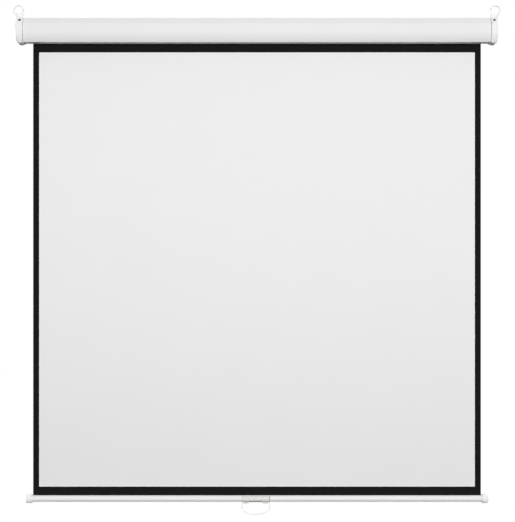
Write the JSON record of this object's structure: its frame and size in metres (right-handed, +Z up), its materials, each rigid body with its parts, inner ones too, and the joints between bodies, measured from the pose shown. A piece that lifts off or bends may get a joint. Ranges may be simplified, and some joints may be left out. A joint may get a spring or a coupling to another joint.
{
  "type": "projection screen",
  "caption": "Pull-down projection screen: a black-bordered white surface hangs from a spring roller in a slim case with end caps and hanging rings, over a round bar with a clip-on handle.",
  "frame": {"origin": "the middle of the case's flat back face, level with the roller's axis", "axes": "+Z up, +Y back to the wall that the case hangs on, +X to the right as seen from the front"},
  "size_m": [1.617, 0.08, 1.7008],
  "materials": {
    "case_paint": "satin",
    "bar_paint": "satin",
    "cap_plastic": "satin",
    "bail_plastic": "satin",
    "inner_plastic": "matte",
    "steel": "satin",
    "dark_steel": "satin",
    "brass": "satin",
    "screen_white": "matte",
    "screen_black": "matte",
    "rubber": "matte"
  },
  "bodies": {
    "case": {"case_housing": "case_paint", "end_cap_left": "cap_plastic", "end_cap_right": "cap_plastic", "hanging_ring_left": "cap_plastic", "hanging_ring_right": "cap_plastic", "ring_screw_left": "dark_steel", "ring_screw_right": "dark_steel", "cap_screw_left_top": "steel", "cap_screw_left_front": "steel", "cap_screw_left_low": "steel", "cap_screw_right_top": "steel", "cap_screw_right_front": "steel", "cap_screw_right_low": "steel", "spindle_plate": "steel", "idle_plate": "steel", "idle_bush": "inner_plastic", "spring_spindle": "steel", "ratchet_hub": "inner_plastic", "hub_pin": "steel", "spring_core": "inner_plastic", "core_pin": "steel", "torsion_spring": "dark_steel", "screen_fabric": "screen_white", "mask_top": "screen_black", "mask_left": "screen_black", "mask_right": "screen_black"},
    "roller": {"roller_tube": "steel", "drive_plug": "inner_plastic", "spindle_bush": "brass", "idle_plug": "inner_plastic", "idle_pin": "steel", "plug_rivet_left": "steel", "plug_rivet_right": "steel", "fabric_turns": "screen_black", "pawl_pin_upper": "steel", "pawl_pin_lower": "steel"},
    "pawl_upper": {"pawl_upper": "steel"},
    "pawl_lower": {"pawl_lower": "steel"},
    "bar": {"weight_bar": "bar_paint", "fabric_hem": "screen_black", "hem_rod": "steel", "bar_cap_left": "cap_plastic", "bar_cap_right": "cap_plastic", "handle_clip": "cap_plastic", "clip_liner": "rubber"},
    "bail": {"handle_bail": "bail_plastic"}
  },
  "joints": [
    {"name": "screen_travel", "type": "slide", "parent": "case", "child": "bar", "axis": [0, 0, 1], "range_m": [0, 1.508], "deforming": ["screen_fabric", "mask_top", "mask_left", "mask_right"]},
    {"name": "roller_spin", "type": "hinge", "parent": "case", "child": "roller", "pos_m": [0, -0.04341, 0], "axis": [1, 0, 0], "range_deg": [0, 3780], "deforming": ["torsion_spring"]},
    {"name": "pawl_upper_swing", "type": "hinge", "parent": "roller", "child": "pawl_upper", "pos_m": [-0.7733, -0.04341, 0.014], "axis": [1, 0, 0], "range_deg": [0, 22]},
    {"name": "pawl_lower_swing", "type": "hinge", "parent": "roller", "child": "pawl_lower", "pos_m": [-0.7733, -0.04341, -0.014], "axis": [1, 0, 0], "range_deg": [0, 22]},
    {"name": "bail_swing", "type": "hinge", "parent": "bar", "child": "bail", "pos_m": [0, -0.022, -1.5767], "axis": [1, 0, 0], "range_deg": [-90, 90]}
  ],
  "couplings": [
    {"joint": "roller_spin", "follows": "screen_travel", "rad_per_m": 43.748}
  ]
}
